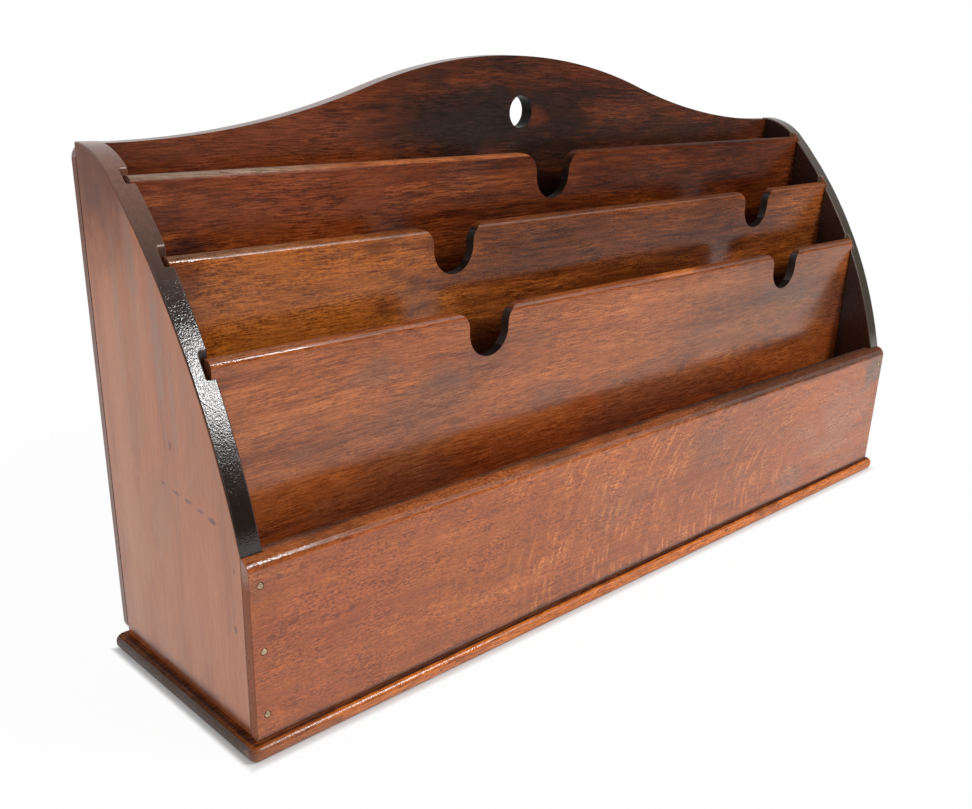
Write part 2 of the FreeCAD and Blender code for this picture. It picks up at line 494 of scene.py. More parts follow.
@dataclass(frozen=True)
class Layer:
    """One layer of the grain: noise drawn out along the fibres and cut to a range."""

    fineness: float
    pull: float
    detail: float
    rough: float
    low: float
    high: float
    twist: float = 0.0

    def draw(self, graph: Graph, place: Socket, fibre: Socket) -> Socket:
        """Draw the layer.

        Args:
            graph: The graph to add to.
            place: Where to draw, with X along the fibres.
            fibre: Fibres to a metre.

        Returns:
            The layer's strength from 0 to 1.
        """
        scale = graph.math("MULTIPLY", fibre, self.fineness)
        noise = graph.noise(graph.stretched(place, x=self.pull), scale, self.detail, self.rough, self.twist)
        return graph.step(noise, self.low, self.high)


class Effects:
    """Builds each shared effect once, when a finish first asks for it."""

    LAYERS = {"Band": Layer(0.04, 0.10, 3.0, 0.55, low=0.30, high=0.70),
              "Streak": Layer(0.30, 0.06, 3.0, 0.60, low=0.32, high=0.68),
              "Fibre": Layer(1.0, 0.055, 2.0, 0.55, low=0.40, high=0.60),
              "Curl": Layer(0.85, 0.36, 2.0, 0.60, low=0.40, high=0.60, twist=0.5),
              "Pore": Layer(1.0, 0.16, 1.0, 0.50, low=0.60, high=0.72),
              "Figure": Layer(0.048, 0.45, 3.0, 0.60, low=0.36, high=0.66)}
    NOISE_MIDDLE = (0.5, 0.5, 0.5)
    FLECK_DRIFT = 3.0 * MM
    FLECK_CELLS = 340.0
    STAIN_LINES = 0.10
    STAIN_FADE = 0.13
    made: dict[Effect, bpy.types.NodeTree] = {}

    @classmethod
    def group(cls, effect: Effect) -> bpy.types.NodeTree:
        """Give the node tree of an effect, built at the first call.

        Args:
            effect: The effect.

        Returns:
            Its node tree.
        """
        if effect not in cls.made:
            makers = {Effect.GRAIN: cls.grain, Effect.FLECK: cls.fleck, Effect.STAIN: cls.stain,
                      Effect.SKIN: cls.skin, Effect.EDGE: cls.edge, Effect.PATCH: cls.patch}
            cls.made[effect] = makers[effect]().tree
        return cls.made[effect]

    @classmethod
    def grain(cls) -> Group:
        """Draw bands, streaks, fibres, curls and pores along X, and the figure that stirs them.

        Returns:
            The effect's group.
        """
        inputs = {"Vector": "Vector", "Fibre": "Float", "Waver": "Float"}
        group = Group(Effect.GRAIN, inputs, tuple(cls.LAYERS))
        read = group.read
        stir = group.noise(read["Vector"], scale=11.0, result="Color")
        drift = group.vector("SUBTRACT", stir, cls.NOISE_MIDDLE)
        wavy = group.vector("ADD", read["Vector"], group.scaled(drift, read["Waver"]))
        for name, layer in cls.LAYERS.items():
            group.put(name, layer.draw(group, wavy, read["Fibre"]))
        return group

    @classmethod
    def fleck(cls) -> Group:
        """Strew short pale dashes on leaning arcs to the left of a centre, gathered in patches.

        Returns:
            The effect's group.
        """
        inputs = {"Vector": "Vector", "Centre": "Vector", "Bend": "Float", "Lean": "Float", "Reach": "Float"}
        group = Group(Effect.FLECK, inputs, ("Fleck", "Ripple"))
        read = group.read
        away = group.vector("SUBTRACT", read["Vector"], read["Centre"])
        axes = group.axes(away)
        bow = group.math("MULTIPLY", axes["Z"], read["Bend"])
        drift = group.math("MULTIPLY", group.noise(away, scale=30.0), cls.FLECK_DRIFT)
        ring = group.math("MULTIPLY_ADD", bow, bow, group.math("MULTIPLY", axes["X"], axes["X"]))
        ring = group.math("ADD", group.math("SQRT", ring), drift)
        ring = group.math("MULTIPLY_ADD", axes["Z"], read["Lean"], ring)
        bent = group.node("ShaderNodeCombineXYZ", {"X": ring, "Y": axes["Z"]}).outputs["Vector"]
        cells = {"Vector": group.stretched(bent, y=0.20), "Scale": cls.FLECK_CELLS}
        dash = group.node("ShaderNodeTexVoronoi", cells, voronoi_dimensions="2D").outputs["Distance"]
        ripple = group.noise(group.stretched(bent, y=0.14), scale=170.0)
        patch = group.step(group.noise(away, scale=48.0, detail=3.0, rough=0.65), low=0.40, high=0.62)
        share = group.math("DIVIDE", axes["X"], read["Reach"])
        strong = group.math("MULTIPLY", group.step(share, low=0.0, high=-0.10),
                            group.step(share, low=-1.0, high=-0.75, start=0.1))
        strong = group.math("MULTIPLY", patch, strong)
        group.put("Fleck", group.math("MULTIPLY", group.step(dash, low=0.40, high=0.14), strong))
        group.put("Ripple", group.step(ripple, low=0.36, high=0.64))
        return group

    @classmethod
    def stain(cls) -> Group:
        """Cloud the wood with stains of ragged edge, drawn out a little along the grain.

        Returns:
            The effect's group.
        """
        group = Group(Effect.STAIN, {"Vector": "Vector", "Scale": "Float", "Level": "Float"}, ("Stain",))
        read = group.read
        cloud = group.noise(group.stretched(read["Vector"], x=0.42), read["Scale"], detail=5.0, rough=0.58)
        lines = group.noise(group.stretched(read["Vector"], x=0.2), scale=420.0)
        level = group.math("MULTIPLY_ADD", lines, cls.STAIN_LINES, cloud)
        group.put("Stain", group.step(level, read["Level"], group.math("ADD", read["Level"], cls.STAIN_FADE)))
        return group

    @staticmethod
    def skin() -> Group:
        """Give the polish its own skin: slow ripples, brush grit and smears of gloss.

        Returns:
            The effect's group.
        """
        group = Group(Effect.SKIN, {"Vector": "Vector", "Grit": "Float"}, ("Ripple", "Grit", "Smear"))
        read = group.read
        smear = group.noise(group.stretched(read["Vector"], x=0.3), scale=60.0, detail=4.0, rough=0.6)
        group.put("Ripple", group.noise(read["Vector"], scale=42.0))
        group.put("Grit", group.noise(read["Vector"], read["Grit"], rough=0.6))
        group.put("Smear", group.step(smear, low=0.3, high=0.7))
        return group

    @staticmethod
    def edge() -> Group:
        """Find where the surface turns away from the broad face, and where it shows end grain to the sides.

        Returns:
            The effect's group.
        """
        group = Group(Effect.EDGE, {"Normal": "Vector", "Broad": "Vector"}, ("Edge", "Side"))
        read = group.read
        facing = group.vector("DOT_PRODUCT", read["Normal"], read["Broad"], result="Value")
        sideways = group.math("ABSOLUTE", group.axes(read["Normal"])["X"])
        group.put("Edge", group.step(group.math("ABSOLUTE", facing), low=0.95, high=0.82))
        group.put("Side", group.step(sideways, low=0.55, high=0.8))
        return group

    @staticmethod
    def patch() -> Group:
        """Mark out a soft spot of ragged outline round a centre.

        Returns:
            The effect's group.
        """
        inputs = {"Vector": "Vector", "Centre": "Vector", "Reach": "Vector", "Ragged": "Float"}
        group = Group(Effect.PATCH, inputs, ("Patch",))
        read = group.read
        away = group.vector("SUBTRACT", read["Vector"], read["Centre"])
        far = group.vector("LENGTH", group.vector("DIVIDE", away, read["Reach"]), result="Value")
        torn = group.noise(group.stretched(read["Vector"], x=0.4), scale=130.0, detail=4.0, rough=0.6)
        torn = group.math("SUBTRACT", torn, group.HALF)
        far = group.math("ADD", far, group.math("MULTIPLY", torn, read["Ragged"]))
        group.put("Patch", group.step(far, low=1.0, high=0.25))
        return group


@dataclass(frozen=True)
class Surface:
    """What a finish draws on: a graph, the place of a point and the effects that all wood has.

    The place is in object coordinates, and along is the same, turned so that X runs with the grain.
    """

    graph: Graph
    place: Socket
    along: Socket
    grain: Outputs
    skin: Outputs
    zone: Outputs


@dataclass(frozen=True)
class Spot:
    """A soft place on a board, in millimetres."""

    centre: Triple
    reach: Triple

    def holds(self, point: Vector) -> bool:
        """Say whether a point in metres lies within the reach."""
        return all(abs(value - middle) < far
                   for value, middle, far in zip(point, metres(self.centre), metres(self.reach)))

    def share(self, on: Surface, ragged: float = 1.2) -> Socket:
        """Say how far a point lies inside.

        Args:
            on: The surface.
            ragged: How torn the outline is.

        Returns:
            One at the centre, falling to nothing at the reach.
        """
        feeds = {"Vector": on.place, "Centre": metres(self.centre), "Reach": metres(self.reach),
                 "Ragged": ragged}
        return on.graph.effect(Effect.PATCH, feeds)["Patch"]


@dataclass(frozen=True)
class Mark(Spot):
    """One stain, worn spot or bleached spot on a board, or a patch of painted shade."""

    tint: Colour
    weight: float
    ragged: float = 2.2
    # Multiplied over the colour: such a mark is painted shade.
    painted_shade: bool = False

    def over(self, on: Surface, colour: Socket) -> Socket:
        """Lay the mark over a colour.

        Args:
            on: The surface.
            colour: The colour below.

        Returns:
            The colour with the mark.
        """
        share = on.graph.math("MULTIPLY", self.share(on, self.ragged), self.weight)
        return on.graph.mix(share, colour, self.tint, "MULTIPLY" if self.painted_shade else "MIX")


@dataclass(frozen=True)
class WoodFinish:
    """Stained and polished wood. Places and heights are in millimetres, the seed and the waver in metres."""

    name: str
    grain: Grain
    broad: Broad
    seed: Triple
    dark: Colour
    middle: Colour
    light: Colour
    pore: Colour
    edge_low: Colour
    edge_high: Optional[Colour]
    end_grain: Colour
    arris: Colour
    arris_weight: float = 0.55
    arris_dull: float = 0.20
    edge_fade: tuple[float, float] = (0.0, 1.0)
    edge_stain: Colour = (0.03, 0.018, 0.013)
    edge_stain_weight: float = 0.0
    edge_stain_level: float = 0.52
    edge_stain_scale: float = 55.0
    edge_streak_weight: float = 0.3
    edge_pore_weight: float = 0.3
    end_fibre_weight: float = 0.3
    band_weight: float = 0.55
    streak_weight: float = 0.45
    fibre_weight: float = 0.80
    curl_weight: float = 0.30
    calm: float = 0.45
    line_dark: Colour = (0.50, 0.40, 0.32)
    line_light: Colour = (1.50, 1.58, 1.62)
    fibre: float = 2300.0
    waver: float = 0.006
    pore_weight: float = 0.35
    fleck: Colour = (0.62, 0.21, 0.055)
    fleck_weight: float = 0.0
    fleck_centre: Triple = (0.0, 0.0, 0.0)
    fleck_bend: float = 0.8
    fleck_lean: float = 0.28
    fleck_reach: float = 235.0
    ripple_weight: float = 0.25
    stain: Colour = (0.03, 0.012, 0.007)
    stain_weight: float = 0.35
    stain_scale: float = 22.0
    stain_level: float = 0.60
    gloss: float = 0.15
    dull: float = 0.26
    edge_gloss: float = 0.03
    edge_grit: float = 1500.0
    edge_bump: float = 0.06
    grit_top: float = 1000.0
    grit_fade: float = 14.0
    pore_sink: float = 0.008
    streak_rise: float = 0.006
    skin_rise: float = 0.10
    shine: Optional[Spot] = None
    shine_gain: float = 0.0
    worn_tilt: float = 1.0
    worn_place: Optional[Spot] = None
    worn_turn: float = 0.5
    marks: tuple[Mark, ...] = ()
    edge_marks: tuple[Mark, ...] = ()

    def dress(self, board: Piece) -> None:
        """Lay the finish on a board, rubbed thin where hands wear it.

        Args:
            board: The board.
        """
        board.data.materials.append(bpy.data.materials.get(self.name) or self.material())
        if self.worn_tilt < 1.0 or self.worn_place:
            board.data.materials.append(self.material(worn=True))
            for face in board.data.polygons:
                face.material_index = int(self.is_worn(face))

    def is_worn(self, face: bpy.types.MeshPolygon) -> bool:
        """Say whether hands rub a face: one that looks up, or a narrow one inside the worn place.

        Args:
            face: The face.

        Returns:
            True for a worn face.
        """
        if self.worn_place and self.worn_place.holds(face.center):
            return abs(face.normal.dot(self.broad.value)) < self.worn_turn
        return face.normal.z > self.worn_tilt

    def material(self, worn: bool = False) -> Material:
        """Build the finish.

        Args:
            worn: Whether hands have rubbed the polish thin here.

        Returns:
            The node material.
        """
        material = bpy.data.materials.new(f"{self.name}_worn" if worn else self.name)
        graph = Graph.start(material)
        on = self.surface(graph)
        face = self.face_colour(on)
        colour = self.lined(on, graph.mix(on.zone["Edge"], face, self.edge_colour(on, face)))
        arris = graph.node("ShaderNodeAttribute", attribute_name="arris").outputs["Fac"]
        frayed = graph.math("MULTIPLY", arris, on.skin["Smear"])
        colour = graph.lay(frayed, self.arris_weight, colour, self.arris)
        bump = graph.node("ShaderNodeBump", {"Height": self.height(on), "Distance": MM})
        graph.coat({"Base Color": colour, "Roughness": self.roughness(on, arris),
                    "Normal": bump.outputs["Normal"], "IOR": WORN_IOR if worn else POLISH_IOR})
        return material

    def surface(self, graph: Graph) -> Surface:
        """Set out what the finish draws on.

        Args:
            graph: The material's graph.

        Returns:
            The surface, with the grain, the polish skin and the edge zone in place.
        """
        place = graph.node("ShaderNodeTexCoord").outputs
        feeds = {"Vector": place["Object"], "Location": self.seed, "Rotation": self.grain.value}
        along = graph.node("ShaderNodeMapping", feeds).outputs["Vector"]
        grain = graph.effect(Effect.GRAIN, {"Vector": along, "Fibre": self.fibre, "Waver": self.waver})
        skin = graph.effect(Effect.SKIN, {"Vector": along, "Grit": self.edge_grit})
        zone = graph.effect(Effect.EDGE, {"Normal": place["Normal"], "Broad": self.broad.value})
        return Surface(graph, place["Object"], along, grain, skin, zone)

    def face_colour(self, on: Surface) -> Socket:
        """Colour the broad faces.

        Args:
            on: The surface.

        Returns:
            The colour.
        """
        graph = on.graph
        tone = graph.weigh(on.grain, {"Band": self.band_weight, "Streak": self.streak_weight})
        colour = graph.mix(graph.step(tone, 0.0, graph.HALF), self.dark, self.middle)
        colour = graph.mix(graph.step(tone, graph.HALF, 1.0), colour, self.light)
        if self.fleck_weight:
            feeds = {"Vector": on.place, "Centre": metres(self.fleck_centre), "Bend": self.fleck_bend,
                     "Lean": self.fleck_lean, "Reach": self.fleck_reach * MM}
            fleck = graph.effect(Effect.FLECK, feeds)
            colour = graph.lay(fleck["Ripple"], self.ripple_weight, colour, self.dark)
            colour = graph.lay(fleck["Fleck"], self.fleck_weight, colour, self.fleck)
        feeds = {"Vector": on.along, "Scale": self.stain_scale, "Level": self.stain_level}
        stain = graph.effect(Effect.STAIN, feeds)["Stain"]
        colour = graph.lay(stain, self.stain_weight, colour, self.stain)
        for mark in self.marks:
            colour = mark.over(on, colour)
        return graph.lay(on.grain["Pore"], self.pore_weight, colour, self.pore)

    def lined(self, on: Surface, colour: Socket) -> Socket:
        """Draw the fibres and the curls of the grain over a colour.

        Args:
            on: The surface.
            colour: The colour below.

        Returns:
            The colour, darker and lighter line by line.
        """
        graph = on.graph
        share = graph.weigh(on.grain, {"Fibre": self.fibre_weight, "Curl": self.curl_weight})
        strength = graph.step(on.grain["Figure"], 0.0, 1.0, self.calm, 1.0)
        share = graph.math("MULTIPLY_ADD", graph.math("SUBTRACT", share, graph.HALF), strength, graph.HALF)
        dark = graph.mix(1.0, colour, self.line_dark, "MULTIPLY")
        light = graph.mix(1.0, colour, self.line_light, "MULTIPLY")
        return graph.mix(share, dark, light)

    def edge_colour(self, on: Surface, face: Socket) -> Socket:
        """Colour the narrow edges, from low to high, with end grain at the sides.

        Args:
            on: The surface.
            face: The face's colour, which an edge with no colour of its own takes.

        Returns:
            The colour.
        """
        graph = on.graph
        rise = graph.step(graph.axes(on.place)["Z"], *metres(self.edge_fade))
        colour = graph.mix(rise, self.edge_low, self.edge_high or face)
        colour = graph.lay(on.grain["Streak"], self.edge_streak_weight, colour, self.edge_low)
        if self.edge_stain_weight:
            feeds = {"Vector": on.along, "Scale": self.edge_stain_scale, "Level": self.edge_stain_level}
            stain = graph.effect(Effect.STAIN, feeds)["Stain"]
            colour = graph.lay(stain, self.edge_stain_weight, colour, self.edge_stain)
        colour = graph.lay(on.grain["Pore"], self.edge_pore_weight, colour, self.pore)
        side = graph.lay(on.grain["Fibre"], self.end_fibre_weight, self.end_grain, self.pore)
        colour = graph.mix(on.zone["Side"], colour, side)
        for mark in self.edge_marks:
            colour = mark.over(on, colour)
        return colour

    def roughness(self, on: Surface, arris: Socket) -> Socket:
        """Dull the edges and the arrises, with gloss left where the finish has a shine.

        Args:
            on: The surface.
            arris: One on the eased arrises.

        Returns:
            The roughness.
        """
        graph = on.graph
        rough = graph.step(on.skin["Smear"], 0.0, 1.0, self.gloss, self.dull)
        rough = graph.math("MULTIPLY_ADD", on.zone["Edge"], self.edge_gloss, rough)
        rough = graph.math("MULTIPLY_ADD", arris, self.arris_dull, rough)
        if self.shine:
            rough = graph.math("MULTIPLY_ADD", self.shine.share(on), -self.shine_gain, rough)
        return rough

    def height(self, on: Surface) -> Socket:
        """Raise the skin and sink the pores, in millimetres.

        Args:
            on: The surface.

        Returns:
            The height.
        """
        graph = on.graph
        pores = graph.math("MULTIPLY", on.grain["Pore"], -self.pore_sink)
        fibres = graph.math("MULTIPLY_ADD", on.grain["Streak"], self.streak_rise, pores)
        face = graph.math("MULTIPLY_ADD", on.skin["Ripple"], self.skin_rise, fibres)
        fade = (self.grit_top + self.grit_fade) * MM
        rough = graph.step(graph.axes(on.place)["Z"], fade, self.grit_top * MM)
        grit = graph.math("MULTIPLY", on.skin["Grit"], self.edge_bump)
        grit = graph.math("MULTIPLY", grit, on.zone["Edge"])
        return graph.math("MULTIPLY_ADD", grit, rough, face)


@dataclass(frozen=True)
class BrassFinish:
    """Tarnished brass, with the depth of its bumps in millimetres."""

    name: str
    bright: Colour = (0.55, 0.41, 0.25)
    tarnish: Colour = (0.14, 0.08, 0.045)
    cloud_scale: float = 420.0
    cloud_range: tuple[float, float] = (0.35, 0.75)
    cloud_weight: float = 0.6
    gloss: float = 0.35
    dull: float = 0.6
    metal: float = 0.85
    bump: float = 0.4
    bump_depth: float = 0.03

    def material(self) -> Material:
        """Build the finish.

        Returns:
            The node material.
        """
        material = bpy.data.materials.new(self.name)
        graph = Graph.start(material)
        place = graph.node("ShaderNodeTexCoord").outputs["Object"]
        cloud = graph.step(graph.noise(place, self.cloud_scale), *self.cloud_range, end=self.cloud_weight)
        colour = graph.mix(cloud, self.bright, self.tarnish)
        rough = graph.step(cloud, low=0.0, high=1.0, start=self.gloss, end=self.dull)
        feeds = {"Height": cloud, "Strength": self.bump, "Distance": self.bump_depth * MM}
        bump = graph.node("ShaderNodeBump", feeds)
        graph.coat({"Base Color": colour, "Roughness": rough, "Metallic": self.metal,
                    "Normal": bump.outputs["Normal"]})
        return material


class Finishes:
    """The finishes of this rack."""

    # Near-black: painted shade on the ends' inner faces, and dark joint lines that are partly dirt, partly
    # painted shade.
    SOOT_AND_SHADE: Colour = (0.016, 0.009, 0.009)
    GRIME: Colour = (0.010, 0.006, 0.005)
    GRIMY_END: Colour = (0.012, 0.008, 0.007)
    BASE = WoodFinish(
        "base_polish", Grain.LEVEL, Broad.UP, (0.31, 0.12, 0.07),
        dark=(0.06, 0.014, 0.005), middle=(0.20, 0.045, 0.009), light=(0.36, 0.09, 0.015),
        pore=(0.05, 0.012, 0.004),
        edge_low=(0.20, 0.042, 0.007), edge_high=(0.57, 0.15, 0.018), edge_fade=(0.3, 2.4),
        edge_pore_weight=0.75,
        end_grain=(0.06, 0.024, 0.013), arris=(0.42, 0.13, 0.025), edge_gloss=0.34, edge_bump=0.11,
        shine=Spot((-150.0, -47.0, 5.0), (95.0, 12.0, 8.0)), shine_gain=0.32, worn_tilt=0.72,
        edge_stain=(0.09, 0.022, 0.006), edge_stain_weight=0.6, edge_stain_level=0.60,
        # Dark lines at the joints with the front board and the left end: partly dirt, partly painted shade in
        # the creases.
        marks=(Mark((0.0, -46.0, 6.5), (500.0, 1.6, 4.0), SOOT_AND_SHADE, 0.85, 0.8),
               Mark((-201.5, 0.0, 6.5), (1.6, 90.0, 4.0), SOOT_AND_SHADE, 0.75, 0.8)),
        # Painted shade: the left side of the base darkened, on the side away from the lamp.
        edge_marks=(Mark((-204.0, 10.0, 4.0), (7.0, 110.0, 12.0), (0.060, 0.022, 0.010), 0.9, 0.6),
                    Mark((-200.0, -48.0, 3.0), (60.0, 8.0, 10.0), (0.20, 0.052, 0.012), 0.7, 0.8)))
    END = WoodFinish(
        "end_polish", Grain.UPRIGHT, Broad.SIDEWAYS, (0.17, 0.43, 0.29),
        dark=(0.40, 0.108, 0.032), middle=(0.53, 0.162, 0.050), light=(0.60, 0.205, 0.072),
        pore=(0.24, 0.060, 0.022),
        edge_low=(0.013, 0.006, 0.003), edge_high=(0.20, 0.074, 0.040), edge_fade=(134.0, 192.0),
        end_grain=(0.06, 0.02, 0.01), arris=(0.20, 0.07, 0.03), arris_weight=0.4, waver=0.004,
        streak_weight=0.25, fibre_weight=0.14, curl_weight=0.05, pore_weight=0.15, edge_pore_weight=0.0,
        stain=(0.34, 0.15, 0.085), stain_weight=0.3, stain_scale=34.0, stain_level=0.56,
        edge_gloss=-0.05, edge_bump=0.09, grit_top=147.0,
        # Painted shade: near-black over the inner faces of both ends, down in the pockets.
        marks=(Mark((-192.0, 0.0, 90.0), (3.0, 400.0, 900.0), SOOT_AND_SHADE, 0.97, 0.3),
               Mark((192.0, 0.0, 90.0), (3.0, 400.0, 900.0), SOOT_AND_SHADE, 0.97, 0.3),
               # Painted shade: the upper part of the left end glazed darker, where it shows less sheen.
               Mark((-200.0, 38.0, 196.0), (6.0, 60.0, 62.0), (0.34, 0.24, 0.25), 0.95, 0.7, painted_shade=True),
               Mark((-200.0, 1.0, 130.0), (3.0, 4.5, 34.0), (0.33, 0.20, 0.155), 0.55, 1.4),
               Mark((-200.0, -6.0, 108.0), (3.0, 3.0, 20.0), (0.33, 0.20, 0.155), 0.4, 1.4),
               Mark((-200.0, 28.0, 60.0), (3.0, 16.0, 40.0), (0.62, 0.26, 0.13), 0.35),
               Mark((-200.0, 14.0, 158.0), (3.0, 5.0, 40.0), (0.30, 0.19, 0.15), 0.45, 1.4),
               Mark((-200.0, 26.0, 128.0), (3.0, 3.5, 46.0), (0.36, 0.20, 0.14), 0.35, 1.4),
               Mark((-200.0, 5.0, 81.2), (3.0, 2.6, 1.0), (0.16, 0.04, 0.02), 0.75, 1.2),
               Mark((-200.0, -3.0, 80.3), (3.0, 3.4, 0.9), (0.20, 0.05, 0.03), 0.8, 1.2),
               Mark((-200.0, -11.0, 79.8), (3.0, 3.6, 1.1), (0.16, 0.04, 0.02), 0.8, 1.2),
               Mark((-200.0, -18.5, 79.0), (3.0, 3.0, 1.0), (0.20, 0.05, 0.03), 0.8, 1.2),
               Mark((-200.0, -25.5, 78.0), (3.0, 3.2, 1.3), (0.12, 0.03, 0.015), 0.9, 1.2),
               Mark((-200.0, -35.4, 44.0), (3.0, 1.0, 2.2), (0.10, 0.02, 0.01), 0.9, 0.6),
               Mark((-200.0, -36.5, 65.0), (3.0, 0.8, 1.6), (0.12, 0.03, 0.015), 0.8, 0.6),
               Mark((-200.0, -1.9, 96.0), (3.0, 1.2, 2.4), (0.16, 0.04, 0.02), 0.7, 0.8),
               # Painted shade at the foot of the left end, where it meets the base.
               Mark((-200.0, 2.0, 8.0), (3.0, 90.0, 6.0), (0.30, 0.22, 0.20), 0.8, 1.0, painted_shade=True)),
        edge_marks=(Mark((196.0, 0.0, 130.0), (40.0, 400.0, 900.0), (0.050, 0.040, 0.027), 0.9, 0.3),))
    FRONT = WoodFinish(
        "front_polish", Grain.LEVEL, Broad.FORWARD, (0.53, 0.21, 0.11),
        dark=(0.20, 0.042, 0.010), middle=(0.365, 0.090, 0.017), light=(0.51, 0.150, 0.034),
        pore=(0.11, 0.024, 0.008),
        edge_low=(0.10, 0.026, 0.009), edge_high=(0.34, 0.098, 0.030), edge_fade=(65.0, 70.0),
        end_grain=(0.36, 0.115, 0.050), arris=(0.30, 0.085, 0.03), arris_weight=0.3,
        edge_stain_weight=0.45, edge_gloss=0.58, edge_bump=0.10,
        shine=Spot((-200.0, -43.0, 70.0), (46.0, 14.0, 9.0)), shine_gain=0.62, worn_tilt=0.72,
        band_weight=0.40, streak_weight=0.25, fibre_weight=0.42, curl_weight=0.66,
        fleck_weight=0.66, fleck_centre=(128.0, -44.75, 24.0), fleck_bend=1.5, fleck_lean=0.18,
        stain=(0.10, 0.040, 0.022),
        marks=(Mark((65.0, -44.75, 52.0), (75.0, 20.0, 26.0), (0.13, 0.055, 0.032), 0.25),
               Mark((40.0, -44.75, 53.0), (18.0, 20.0, 14.0), (0.17, 0.080, 0.050), 0.32),
               Mark((65.0, -44.75, 28.0), (15.0, 20.0, 10.0), (0.17, 0.080, 0.050), 0.28),
               Mark((118.0, -44.75, 16.0), (18.0, 20.0, 12.0), (0.22, 0.120, 0.080), 0.4),
               Mark((-24.0, -44.75, 40.0), (34.0, 20.0, 15.0), (0.24, 0.105, 0.065), 0.25),
               Mark((192.0, -44.75, 62.0), (14.0, 20.0, 16.0), (0.10, 0.075, 0.060), 0.75),
               Mark((160.0, -44.75, 36.0), (50.0, 20.0, 30.0), (0.34, 0.150, 0.085), 0.5),
               Mark((-170.0, -44.75, 40.0), (60.0, 20.0, 40.0), (0.31, 0.070, 0.020), 0.65),
               # Painted shade: a dark band on the front of the top round, over the right part.
               Mark((130.0, -44.0, 69.5), (165.0, 20.0, 4.2), (0.060, 0.024, 0.014), 0.85, 1.4),
               # A dark line along the foot, against the base: partly dirt, partly painted shade.
               Mark((0.0, -44.75, 6.5), (500.0, 20.0, 3.0), SOOT_AND_SHADE, 0.8, 0.8)),
        # The top edge's right half darker: partly dirt, partly painted shade where the top reflects dark.
        edge_marks=(Mark((120.0, -40.0, 70.0), (170.0, 30.0, 30.0), (0.085, 0.030, 0.015), 0.9, 0.8),
                    Mark((0.0, -37.5, 71.0), (500.0, 3.2, 6.0), (0.035, 0.022, 0.018), 0.7, 1.6)))
    BACK = WoodFinish(
        "back_polish", Grain.LEVEL, Broad.FORWARD, (0.71, 0.33, 0.47),
        dark=(0.032, 0.010, 0.005), middle=(0.085, 0.019, 0.006), light=(0.17, 0.038, 0.009),
        pore=(0.015, 0.007, 0.004),
        edge_low=(0.05, 0.018, 0.009), edge_high=(0.16, 0.055, 0.03), end_grain=(0.24, 0.068, 0.030),
        arris=(0.16, 0.06, 0.03), stain=(0.016, 0.008, 0.006), stain_weight=0.8,
        stain_level=0.55, stain_scale=20.0,
        worn_place=Spot((-2.8, 44.75, 190.8), (7.5, 20.0, 7.5)),
        marks=(Mark((-140.0, 41.75, 180.0), (95.0, 20.0, 34.0), (0.20, 0.040, 0.009), 0.7),
               Mark((-26.0, 41.75, 186.0), (62.0, 20.0, 24.0), (0.020, 0.010, 0.008), 0.85),
               Mark((110.0, 41.75, 178.0), (70.0, 20.0, 18.0), (0.030, 0.012, 0.008), 0.7),
               Mark((8.0, 41.75, 188.0), (9.0, 20.0, 6.0), (0.20, 0.038, 0.008), 0.4)),
        # Painted shade: the wall of the bored hole near-black.
        edge_marks=(Mark((-2.8, 44.75, 190.8), (24.0, 40.0, 24.0), (0.010, 0.009, 0.008), 1.0, 0.0),))
    REAR = WoodFinish(
        "rear_divider_polish", Grain.LEVEL, Broad.FORWARD, (0.23, 0.57, 0.37),
        dark=(0.060, 0.011, 0.003), middle=(0.14, 0.029, 0.006), light=(0.27, 0.064, 0.013),
        pore=(0.035, 0.009, 0.003),
        edge_low=GRIME, edge_high=None, edge_fade=(171.0, 173.5),
        end_grain=GRIMY_END, arris=(0.34, 0.13, 0.05), edge_stain_weight=0.3,
        worn_tilt=0.25, curl_weight=0.35,
        edge_gloss=0.24, edge_bump=0.16,
        marks=(Mark((-135.0, 21.25, 158.0), (70.0, 20.0, 44.0), (0.26, 0.050, 0.009), 0.5),
               Mark((-178.0, 21.25, 150.0), (16.0, 20.0, 9.0), (0.030, 0.010, 0.010), 0.85),
               # Painted shade: the right part of the rear divider glazed darker.
               Mark((105.0, 21.25, 160.0), (180.0, 20.0, 60.0), (0.52, 0.44, 0.38), 0.85, 0.8, painted_shade=True)),
        # Pale grey on the top edge's left part: dust, and painted sheen where the lamp catches it.
        edge_marks=(Mark((-165.0, 23.0, 176.0), (66.0, 20.0, 20.0), (0.27, 0.185, 0.130), 0.9, 0.9),
                    Mark((-60.0, 23.0, 176.0), (90.0, 20.0, 20.0), (0.40, 0.12, 0.035), 0.75, 0.9)))
